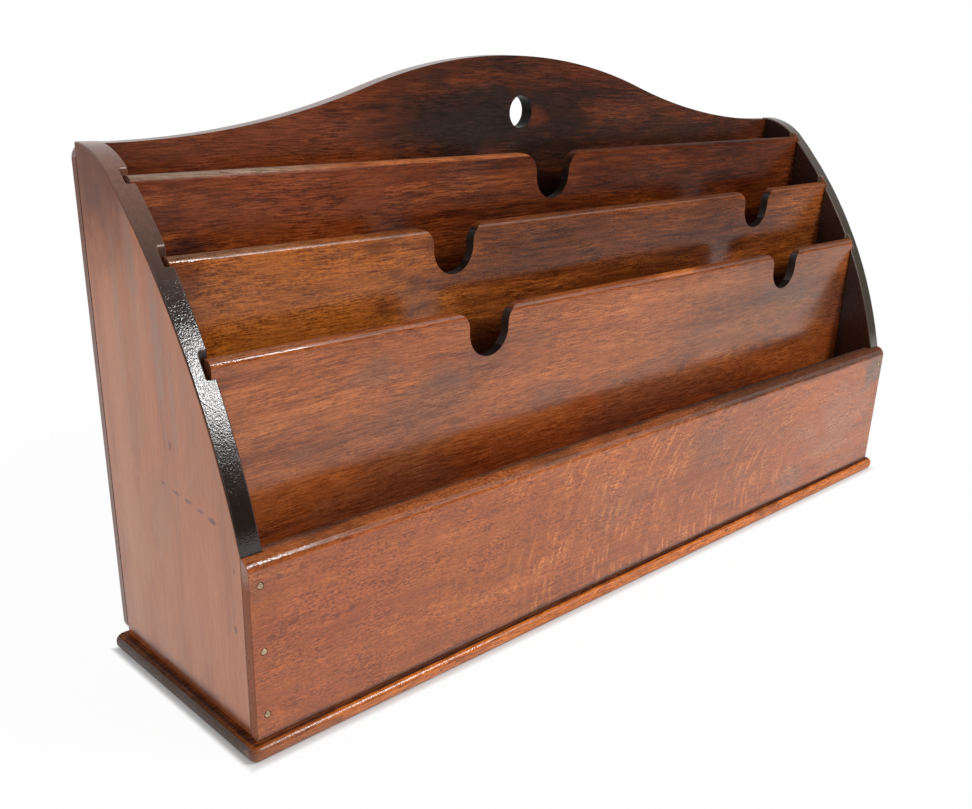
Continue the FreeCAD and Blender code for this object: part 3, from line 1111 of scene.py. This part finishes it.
    MIDDLE = WoodFinish(
        "middle_divider_polish", Grain.LEVEL, Broad.FORWARD, (0.41, 0.77, 0.19),
        dark=(0.075, 0.017, 0.004), middle=(0.165, 0.042, 0.008), light=(0.31, 0.085, 0.016),
        pore=(0.045, 0.012, 0.004),
        edge_low=GRIME, edge_high=None, edge_fade=(149.0, 151.5),
        end_grain=GRIMY_END, arris=(0.34, 0.13, 0.06), edge_stain_weight=0.3,
        fibre_weight=0.7, curl_weight=0.55,
        edge_gloss=0.36, edge_bump=0.10, shine=Spot((-194.0, 2.0, 154.0), (18.0, 12.0, 8.0)), shine_gain=0.34,
        worn_tilt=0.60,
        marks=(Mark((-152.0, 0.75, 120.0), (95.0, 20.0, 62.0), (0.46, 0.128, 0.018), 0.65),
               Mark((-190.0, 0.75, 146.0), (12.0, 20.0, 9.0), (0.10, 0.022, 0.012), 0.7),
               # Painted shade: these glazes darken the middle, the lower part and the lower left, down in the
               # pocket.
               Mark((50.0, 0.75, 140.0), (150.0, 20.0, 40.0), (0.68, 0.60, 0.58), 0.8, 0.8, painted_shade=True),
               Mark((20.0, 0.75, 92.0), (300.0, 20.0, 34.0), (0.60, 0.52, 0.52), 0.9, 0.8, painted_shade=True),
               Mark((-165.0, 0.75, 98.0), (70.0, 20.0, 26.0), (0.66, 0.64, 0.62), 0.85, 0.8, painted_shade=True)),
        edge_marks=(Mark((-178.0, 2.0, 154.0), (44.0, 20.0, 20.0), (0.20, 0.095, 0.05), 0.8, 0.9),))
    LOW = WoodFinish(
        "front_divider_polish", Grain.LEVEL, Broad.FORWARD, (0.61, 0.97, 0.83),
        dark=(0.17, 0.036, 0.008), middle=(0.325, 0.084, 0.018), light=(0.44, 0.130, 0.033),
        pore=(0.09, 0.022, 0.007),
        edge_low=GRIME, edge_high=None, edge_fade=(121.5, 124.0),
        end_grain=GRIMY_END, arris=(0.38, 0.13, 0.045), edge_gloss=0.36, edge_bump=0.10,
        shine=Spot((-176.0, -18.0, 126.5), (40.0, 12.0, 8.0)), shine_gain=0.34, worn_tilt=0.72,
        streak_weight=0.25, fibre_weight=0.6, curl_weight=0.35, calm=0.6,
        stain=(0.11, 0.052, 0.034), stain_weight=0.42, stain_scale=26.0, stain_level=0.56,
        edge_stain_weight=0.25,
        # Painted shade: these glazes darken the lower band, the right end and the upper right.
        marks=(Mark((-10.0, -19.75, 54.0), (320.0, 20.0, 38.0), (0.60, 0.42, 0.44), 0.85, 0.7, painted_shade=True),
               Mark((192.0, -19.75, 88.0), (26.0, 20.0, 44.0), (0.72, 0.56, 0.52), 0.9, 0.7, painted_shade=True),
               Mark((130.0, -19.75, 104.0), (130.0, 20.0, 44.0), (0.62, 0.70, 0.76), 0.85, 0.8, painted_shade=True),
               Mark((-131.0, -19.75, 111.0), (18.0, 20.0, 7.0), (0.13, 0.070, 0.048), 0.4),
               Mark((-100.0, -19.75, 104.0), (16.0, 20.0, 8.0), (0.12, 0.066, 0.046), 0.45),
               Mark((-40.0, -19.75, 86.0), (26.0, 20.0, 8.0), (0.14, 0.060, 0.036), 0.4)),
        edge_marks=(Mark((-178.0, -18.0, 126.5), (40.0, 20.0, 20.0), (0.30, 0.105, 0.045), 0.5, 0.9),
                    Mark((40.0, -18.0, 126.5), (24.0, 20.0, 20.0), (0.52, 0.15, 0.035), 0.8, 0.9)))
    PINS = BrassFinish("pin_brass")


@dataclass
class PinRow:
    """One group of alike pins, driven the same way, in metres."""

    node: str
    board: str
    drive: Vector
    places: Sequence[Vector]
    head_radius: float = 1.1 * MM
    head_depth: float = 0.8 * MM
    head_crown: float = 0.25 * MM
    crown_facets: int = 3
    shank_radius: float = 0.7 * MM
    point_length: float = 1.6 * MM
    point_share: float = 0.2
    length: float = 14.0 * MM
    sides: int = 20
    bore_slack: float = 0.2 * MM

    def build(self, material: Material) -> None:
        """Model one pin, copy it to each place and join the copies.

        Args:
            material: The pins' finish.
        """
        first = self.model()
        copies = []
        for place in self.places:
            copy = first.copy()
            copy.data = first.data.copy()
            bpy.context.collection.objects.link(copy)
            copy.location = place
            copies.append(copy)
        bpy.data.objects.remove(first, do_unlink=True)
        bpy.ops.object.select_all(action="DESELECT")
        for copy in copies:
            copy.select_set(True)
        bpy.context.view_layer.objects.active = copies[0]
        bpy.ops.object.transform_apply(location=True, rotation=True, scale=True)
        bpy.ops.object.join()
        group = bpy.context.active_object
        group.name = f"{self.node}_brass"
        Bench.polish(group)
        group.data.materials.append(material)
        Bench.fit(group, self.node, "carcase", "pin_brass")

    def bore(self, board: Piece) -> None:
        """Drill a board for the heads of the pins.

        Args:
            board: The board that the pins are driven into.
        """
        for place in self.places:
            Bench.cut_out(board, Bench.rod("bore", place, self.head_radius + self.bore_slack,
                                           2.0 * self.head_depth, self.sides, self.drive))

    def model(self) -> Piece:
        """Turn one pin: a shank drawn to a point and a low crowned head.

        Returns:
            The pin at the origin, its head's face at zero, driven along the group's way.
        """
        bpy.ops.object.select_all(action="DESELECT")
        bpy.ops.mesh.primitive_circle_add(vertices=self.sides, radius=self.head_radius, fill_type="NGON")
        pin = bpy.context.active_object
        bpy.ops.object.mode_set(mode="EDIT")
        shank = self.length - self.head_depth - self.point_length
        steps = ((self.head_depth, 1.0), (0.0, self.shank_radius / self.head_radius), (shank, 1.0),
                 (self.point_length, self.point_share))
        bpy.ops.mesh.select_all(action="SELECT")
        for depth, scale in steps:
            bpy.ops.mesh.extrude_region_move(TRANSFORM_OT_translate={"value": (0.0, 0.0, -depth)})
            bpy.ops.transform.resize(value=(scale, scale, 1.0))
        bpy.ops.mesh.select_all(action="SELECT")
        bpy.ops.mesh.normals_make_consistent(inside=False)
        bpy.ops.object.mode_set(mode="OBJECT")
        Bench.round_edges(pin, lambda start, end: min(start.z, end.z) > -TOUCH,
                          self.head_crown, self.crown_facets)
        pin.rotation_euler = (-UPWARD).rotation_difference(self.drive).to_euler()
        Bench.alone(pin)
        bpy.ops.object.transform_apply(location=True, rotation=True, scale=True)
        return pin


@dataclass
class Carcase:
    """The fixed box: base, two ends, front and back, with sizes in metres."""

    pins: Sequence[PinRow]
    body: str = "carcase"
    base_corner: float = 3.4 * MM
    base_nosing: float = 3.0 * MM
    end_top_radius: float = 32.0 * MM
    end_top_turn: float = math.radians(43.0)
    end_top_cuts: int = 12
    end_sweep_cuts: int = 30
    front_round: float = 4.5 * MM
    front_inner_round: float = 1.5 * MM
    back_shoulder: float = 184.2 * MM
    back_peak_x: float = -8.5 * MM
    back_crest_share: float = 0.42
    back_corner: float = 5.0 * MM
    back_columns: int = 96
    hole_x: float = -2.8 * MM
    hole_radius: float = 6.7 * MM
    hole_below_peak: float = 22.6 * MM
    hole_facets: int = 64
    groove_depth: float = 3.2 * MM
    groove_clearance: float = 0.25 * MM
    arris: float = 0.6 * MM
    round_facets: int = 10

    def build(self) -> None:
        """Make the five boards and dress them."""
        self.finish(self.base(), "base_board", "base_wood", Finishes.BASE)
        for node in ("left_end", "right_end"):
            self.finish(self.end(node), node, "end_wood", Finishes.END)
        self.finish(self.front(), "front_board", "front_wood", Finishes.FRONT)
        self.finish(self.back(), "back_board", "back_wood", Finishes.BACK)

    def finish(self, board: Piece, node: str, slot: str, finish: WoodFinish) -> None:
        """Ease, polish and dress a board, and put it in its node's place.

        Args:
            board: The board.
            node: The node that it stands for.
            slot: A material slot name, passed on to Bench.fit.
            finish: Its finish.
        """
        Bench.ease(board, self.arris)
        for row in self.pins:
            if row.board == node:
                row.bore(board)
        Bench.polish(board)
        finish.dress(board)
        Bench.fit(board, node, self.body, slot)

    def base(self) -> Piece:
        """Shape the base: round front corners in plan, then a half-round nosing at the front and the sides.

        Returns:
            The base board.
        """
        low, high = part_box("base_board")
        board = Bench.block("base_board_wood", low, high)
        rear = high.y - TOUCH
        Bench.round_edges(board, lambda start, end: abs(start.z - end.z) > TOUCH and start.y < rear,
                          self.base_corner, self.round_facets)
        Bench.round_edges(
            board, lambda start, end: abs(start.z - end.z) < TOUCH and min(start.y, end.y) < rear,
            self.base_nosing, self.round_facets)
        return board

    def end(self, node: str) -> Piece:
        """Shape an end: plane its swept edge facet by facet, then plough the grooves.

        Args:
            node: The end's node.

        Returns:
            The end board.
        """
        low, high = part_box(node)
        board = Bench.block(f"{node}_wood", low, high)
        for point, outward in self.sweep(low, high):
            Bench.plane_off(board, point, outward)
        inner = low.x if abs(low.x) < abs(high.x) else high.x
        floor = math.copysign(abs(inner) + self.groove_depth, inner)
        for divider in ("rear_divider", "middle_divider", "front_divider"):
            near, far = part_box(divider)
            sides = sorted((floor, math.copysign(abs(inner) - CUT_SPARE, inner)))
            foot = Vector((sides[0], near.y - self.groove_clearance, low.z - CUT_SPARE))
            head = Vector((sides[1], far.y + self.groove_clearance, high.z + CUT_SPARE))
            Bench.cut_out(board, Bench.block("groove", foot, head))
        return board

    def sweep(self, low: Vector, high: Vector) -> list[tuple[Vector, Vector]]:
        """Lay out the planes that touch the swept edge: a tight round at the top, then one long curve.

        Args:
            low: The end board's lowest corner.
            high: The end board's highest corner.

        Returns:
            A point and an outward direction for each plane.
        """
        def outward(angle: float) -> Vector:
            """Give the direction square to the edge."""
            return Vector((0.0, -math.sin(angle), math.cos(angle)))

        planes = []
        top_centre = Vector((0.0, high.y, high.z - self.end_top_radius))
        for cut in range(self.end_top_cuts):
            way = outward(self.end_top_turn * (cut + 0.5) / self.end_top_cuts)
            planes.append((top_centre + way * self.end_top_radius, way))
        join_way = outward(self.end_top_turn)
        join = top_centre + join_way * self.end_top_radius
        foot = Vector((0.0, low.y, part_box("front_board")[1].z))
        span = foot - join
        radius = -span.length_squared / (2.0 * span.dot(join_way))
        centre = join - join_way * radius
        foot_way = (foot - centre).normalized()
        turn = join_way.angle(foot_way)
        for cut in range(self.end_sweep_cuts):
            way = outward(self.end_top_turn + turn * (cut + 0.5) / self.end_sweep_cuts)
            planes.append((centre + way * radius, way))
        return planes

    def front(self) -> Piece:
        """Shape the front: a full round on its outer top edge and a rebate at each end.

        Returns:
            The front board.
        """
        low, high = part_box("front_board")
        board = Bench.block("front_board_wood", low, high)
        for side, radius in ((low.y, self.front_round), (high.y, self.front_inner_round)):
            Bench.round_edges(
                board, lambda start, end: (min(start.z, end.z) > high.z - TOUCH
                                           and abs(start.y - side) + abs(end.y - side) < TOUCH),
                radius, self.round_facets)
        self.rebate(board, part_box("left_end")[0].y, high.y + CUT_SPARE)
        return board

    def rebate(self, board: Piece, near: float, far: float) -> None:
        """Cut both ends of a board down to its lap.

        Args:
            board: The board.
            near: Front of the cut.
            far: Back of the cut.
        """
        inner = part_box("left_end")[1].x
        low, high = CAD_BOX
        for side in SIDES:
            span = sorted((side * abs(inner), side * (abs(inner) + THROUGH)))
            cutter = Bench.block("rebate", Vector((span[0], near, low[2] - CUT_SPARE)),
                                 Vector((span[1], far, high[2] + CUT_SPARE)))
            Bench.cut_out(board, cutter)

    def back(self) -> Piece:
        """Shape the back: columns raised to a serpentine top, a bored hole and a rebate at each end.

        Returns:
            The back board.
        """
        low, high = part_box("back_board")
        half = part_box("left_end")[1].x
        block_high = Vector((-half, high.y, self.back_shoulder))
        board = Bench.block("back_board_wood", Vector((half, low.y, low.z)), block_high)
        Bench.pick_edges(board, lambda start, end: abs(start.x - end.x) > TOUCH)
        bpy.ops.mesh.subdivide(number_cuts=self.back_columns - 1)
        bpy.ops.object.mode_set(mode="OBJECT")
        self.raise_top(board, abs(half), high.z - self.back_shoulder)
        self.add_laps(board, high.x)
        Bench.round_edges(
            board, lambda start, end: (abs(start.y - end.y) > TOUCH
                                       and min(abs(start.x), abs(end.x)) > high.x - TOUCH),
            self.back_corner, self.round_facets)
        hole = Vector((self.hole_x, (low.y + high.y) / 2.0, high.z - self.hole_below_peak))
        Bench.cut_out(board, Bench.rod("hole", hole, self.hole_radius, THROUGH, self.hole_facets))
        self.rebate(board, low.y - CUT_SPARE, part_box("left_end")[1].y)
        return board

    def raise_top(self, board: Piece, half: float, rise: float) -> None:
        """Lift each column's top to two tangent arcs a side: hollow at the shoulder, full at the crest.

        Args:
            board: The back board in columns.
            half: Half the serpentine's length.
            rise: How far the crest stands above the shoulders.
        """
        for point in board.data.vertices:
            if point.co.z > self.back_shoulder - TOUCH:
                away = point.co.x - self.back_peak_x
                run = half - math.copysign(1.0, away) * self.back_peak_x
                both = (run * run + rise * rise) / (2.0 * rise)
                full = self.back_crest_share * both
                hollow = both - full
                if abs(away) < self.back_crest_share * run:
                    point.co.z = self.back_shoulder + rise - full + math.sqrt(full * full - away * away)
                else:
                    left = max(run - abs(away), 0.0)
                    point.co.z = self.back_shoulder + hollow - math.sqrt(hollow * hollow - left * left)

    def add_laps(self, board: Piece, end: float) -> None:
        """Draw both ends out level to the back's full width.

        Args:
            board: The back board.
            end: Half the full width.
        """
        Bench.alone(board)
        for side in SIDES:
            bpy.context.tool_settings.mesh_select_mode = (False, False, True)
            bpy.ops.object.mode_set(mode="EDIT")
            bpy.ops.mesh.select_all(action="DESELECT")
            bpy.ops.object.mode_set(mode="OBJECT")
            for face in board.data.polygons:
                face.select = face.normal.x * side > FACING
            reach = end - max(abs(point.co.x) for point in board.data.vertices if point.co.x * side > 0.0)
            bpy.ops.object.mode_set(mode="EDIT")
            bpy.ops.mesh.extrude_region_move(TRANSFORM_OT_translate={"value": (side * reach, 0.0, 0.0)})
            bpy.ops.object.mode_set(mode="OBJECT")


@dataclass(frozen=True)
class Notches:
    """The finger notches along the top of a divider, in metres."""

    places: tuple[float, ...]
    depth: float
    wall: float
    width: float = 20.0 * MM


REAR_NOTCHES = Notches((-2.5 * MM,), depth=19.2 * MM, wall=0.4 * MM)
SIDE_NOTCHES = Notches((-77.5 * MM, 127.0 * MM), depth=18.0 * MM, wall=1.4 * MM)


@dataclass
class Divider:
    """A loose board with finger notches and a rounded top, in metres."""

    node: str
    finish: WoodFinish
    notches: Notches
    top_round: float = 2.4 * MM
    arris: float = 0.45 * MM
    top_facets: int = 7
    notch_facets: int = 22
    shoulder_facets: int = 96

    def build(self) -> None:
        """Cut the board, ease it, dress it and put it in its grooves."""
        low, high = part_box(self.node)
        board = Bench.block(f"{self.node}_wood", low, high)
        Bench.round_edges(
            board, lambda start, end: (min(start.z, end.z) > high.z - TOUCH
                                       and max(start.y, end.y) < low.y + TOUCH),
            self.top_round, self.top_facets)
        for middle in self.notches.places:
            Bench.cut_out(board, self.flare(middle, low, high))
            Bench.cut_out(board, self.notch(middle, low, high))
        Bench.ease(board, self.arris)
        Bench.polish(board)
        self.finish.dress(board)
        Bench.fit(board, self.node, self.node, "divider_wood")

    def flare(self, middle: float, low: Vector, high: Vector) -> Piece:
        """Shape the block that opens a notch's mouth: wide above and hollow at both sides.

        Args:
            middle: The notch's place along the board.
            low: The board's lowest corner.
            high: The board's highest corner.

        Returns:
            The cutting block.
        """
        half = self.notches.width / 2.0
        shoulder = self.notches.depth - half - self.notches.wall
        level = high.z - shoulder
        block = Bench.block("flare", Vector((middle - half - shoulder, low.y - CUT_SPARE, level)),
                            Vector((middle + half + shoulder, high.y + CUT_SPARE, high.z + CUT_SPARE)))
        for side in SIDES:
            place = Vector((middle + side * (half + shoulder), (low.y + high.y) / 2.0, level + TOUCH))
            Bench.cut_out(block, Bench.rod("shoulder", place, shoulder, THROUGH, self.shoulder_facets))
        return block

    def notch(self, middle: float, low: Vector, high: Vector) -> Piece:
        """Shape the block that leaves a finger notch: square above and round below.

        Args:
            middle: The notch's place along the board.
            low: The board's lowest corner.
            high: The board's highest corner.

        Returns:
            The cutting block.
        """
        half = self.notches.width / 2.0
        foot = high.z - self.notches.depth
        block = Bench.block("notch", Vector((middle - half, low.y - CUT_SPARE, foot)),
                            Vector((middle + half, high.y + CUT_SPARE, high.z + CUT_SPARE)))
        Bench.round_edges(
            block, lambda start, end: max(start.z, end.z) < foot + TOUCH and abs(start.x - end.x) < TOUCH,
            half - TOUCH, self.notch_facets)
        return block


@dataclass
class Studio:
    """Floor, light and camera, in metres and degrees."""

    floor_size: float = 14.0
    glow_near: float = 0.965
    glow_reach: tuple[float, float] = (0.24, 0.50)
    pool_edge: tuple[float, float] = (-0.62, -0.32)
    back_edge: tuple[float, float] = (1.10, 0.45)
    back_dim: float = 0.45
    contact_reach: float = 2.6 * MM
    contact: float = 0.15
    dim: float = 0.12
    camera_place: Triple = (-0.3459, -0.29465, 0.2161)
    camera_turn: Triple = (67.915, -1.770, -43.833)
    sensor: float = 36.0
    image_width: float = 972.0
    focal_pixels: float = 1051.58
    shift: tuple[float, float] = (-0.0031, 0.0718)
    clip_start: float = 0.01
    paint: Colour = (0.9, 0.9, 0.9)
    room_light: float = 0.60
    sky_deep: float = 0.8
    sky_high: float = 0.9
    sky_base: float = 0.1
    key_way: Triple = (0.405, -0.680, 0.611)
    key_distance: float = 1.6
    key_size: float = 0.45
    key_power: float = 14.0

    def build(self) -> None:
        """Set the floor, the light and the camera."""
        bpy.context.scene.view_settings.view_transform = "Standard"
        self.floor()
        self.world()
        self.key()
        self.camera()

    @staticmethod
    def white_ray(graph: Graph, front: Socket) -> Socket:
        """Say how white a ray sees the backdrop: full from the camera, less in front for reflections.

        Args:
            graph: The graph to add to.
            front: How lit the studio is where the ray ends, from 0 to 1.

        Returns:
            The whiteness from 0 to 1.
        """
        rays = graph.node("ShaderNodeLightPath").outputs
        mirrored = graph.math("MULTIPLY", rays["Is Glossy Ray"], front)
        return graph.math("MAXIMUM", rays["Is Camera Ray"], mirrored)

    def floor(self) -> None:
        """Lay the floor under the object."""
        bpy.ops.object.select_all(action="DESELECT")
        bpy.ops.mesh.primitive_plane_add(size=self.floor_size, location=(0.0, 0.0, -TOUCH))
        floor = bpy.context.active_object
        floor.name = "floor"
        floor.data.materials.append(self.floor_paint())

    def floor_paint(self) -> Material:
        """Paint the floor white, lit in a pool round the object, with its shadow close to the base.

        Returns:
            The node material.
        """
        material = bpy.data.materials.new("white_floor")
        graph = Graph.start(material)
        place = graph.node("ShaderNodeTexCoord").outputs["Object"]
        depth = graph.axes(place)["Y"]
        pool = graph.math("MINIMUM", graph.step(depth, *self.pool_edge, self.dim, 1.0),
                          graph.step(depth, *self.back_edge, self.back_dim, 1.0))
        away = graph.vector("LENGTH", place, result="Value")
        share = graph.step(away, *self.glow_reach, self.glow_near, 1.0)
        outside = graph.vector("SUBTRACT", graph.vector("ABSOLUTE", place), CAD_BOX[1])
        past = graph.axes(outside)
        gap = graph.math("MAXIMUM", past["X"], past["Y"])
        share = graph.math("MULTIPLY", share, graph.step(gap, 0.0, self.contact_reach, self.contact, 1.0))
        rays = graph.node("ShaderNodeLightPath").outputs
        seen = graph.math("MAXIMUM", rays["Is Camera Ray"], rays["Is Glossy Ray"])
        paint = graph.node("ShaderNodeBsdfDiffuse", {"Color": self.paint})
        glow = graph.node("ShaderNodeEmission", {"Color": WHITE, "Strength": self.white_ray(graph, pool)})
        blend = graph.node("ShaderNodeMixShader", {"Fac": graph.math("MULTIPLY", seen, share)})
        graph.tree.links.new(paint.outputs[0], blend.inputs[1])
        graph.tree.links.new(glow.outputs[0], blend.inputs[2])
        graph.node("ShaderNodeOutputMaterial", {"Surface": blend.outputs[0]})
        return material

    def world(self) -> None:
        """Fill the room with soft light, white behind the object and dim low in front of it."""
        world = bpy.data.worlds.new("studio")
        graph = Graph.start(world)
        ray = graph.node("ShaderNodeTexCoord").outputs["Generated"]
        way = graph.axes(ray)
        behind = graph.math("MULTIPLY_ADD", way["Y"], self.sky_deep,
                            graph.math("MULTIPLY", way["Z"], self.sky_high))
        front = graph.math("MAXIMUM", graph.math("ADD", behind, self.sky_base, clamp=True), self.dim)
        rays = graph.node("ShaderNodeLightPath").outputs
        lit = graph.math("MULTIPLY", rays["Is Diffuse Ray"], self.room_light)
        strength = graph.math("MAXIMUM", self.white_ray(graph, front), lit)
        sky = graph.node("ShaderNodeBackground", {"Color": WHITE, "Strength": strength})
        graph.node("ShaderNodeOutputWorld", {"Surface": sky.outputs[0]})
        bpy.context.scene.world = world

    def key(self) -> None:
        """Hang one soft lamp at the right, in front and above."""
        lamp = bpy.data.lights.new("key", "AREA")
        lamp.shape = "DISK"
        lamp.size = self.key_size
        lamp.energy = self.key_power
        key = bpy.data.objects.new("key", lamp)
        way = Vector(self.key_way).normalized()
        key.location = way * self.key_distance
        key.rotation_euler = way.to_track_quat("Z", "Y").to_euler()
        bpy.context.collection.objects.link(key)

    def camera(self) -> None:
        """Stand the camera where the photograph was taken from."""
        lens = bpy.data.cameras.new("camera")
        lens.sensor_fit = "HORIZONTAL"
        lens.sensor_width = self.sensor
        lens.lens = self.focal_pixels / self.image_width * self.sensor
        lens.shift_x, lens.shift_y = self.shift
        lens.clip_start = self.clip_start
        camera = bpy.data.objects.new("camera", lens)
        camera.location = self.camera_place
        camera.rotation_euler = tuple(math.radians(angle) for angle in self.camera_turn)
        bpy.context.collection.objects.link(camera)
        bpy.context.scene.camera = camera


def pin_rows() -> list[PinRow]:
    """Lay out the three groups of pins inside the boxes of their nodes.

    Returns:
        The front, back and base pins.
    """
    radius = PinRow.head_radius
    end_low, end_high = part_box("right_end")
    side = (end_low.x + end_high.x) / 2.0
    rows = []
    for node, board, drive in (("front_pins", "front_board", DEEP), ("back_pins", "back_board", -DEEP)):
        low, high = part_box(node)
        heights = (low.z + radius, (low.z + high.z) / 2.0, high.z - radius)
        face = low.y if drive.y > 0.0 else high.y
        places = [Vector((x, face, z)) for x in (-side, side) for z in heights]
        rows.append(PinRow(node, board, drive, places))
    low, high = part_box("base_pins")
    end_rows = (end_low.y + END_PIN_MARGIN, end_high.y - END_PIN_MARGIN)
    places = [Vector((x, y, low.z)) for x in (-side, side) for y in end_rows]
    rail_rows = (low.y + radius, high.y - radius)
    places += [Vector((x, y, low.z)) for x in (-RAIL_PIN_X, RAIL_PIN_X) for y in rail_rows]
    rows.append(PinRow("base_pins", "base_board", UPWARD, places, length=BASE_PIN_LENGTH))
    return rows


def main() -> None:
    """Build the rack piece by piece and light it."""
    logging.basicConfig(level=logging.INFO, format="%(name)s: %(message)s")
    pins = pin_rows()
    Carcase(pins).build()
    Divider("rear_divider", Finishes.REAR, REAR_NOTCHES).build()
    Divider("middle_divider", Finishes.MIDDLE, SIDE_NOTCHES).build()
    Divider("front_divider", Finishes.LOW, SIDE_NOTCHES).build()
    brass = Finishes.PINS.material()
    for row in pins:
        row.build(brass)
    Studio().build()


if __name__ == "__main__":
    main()
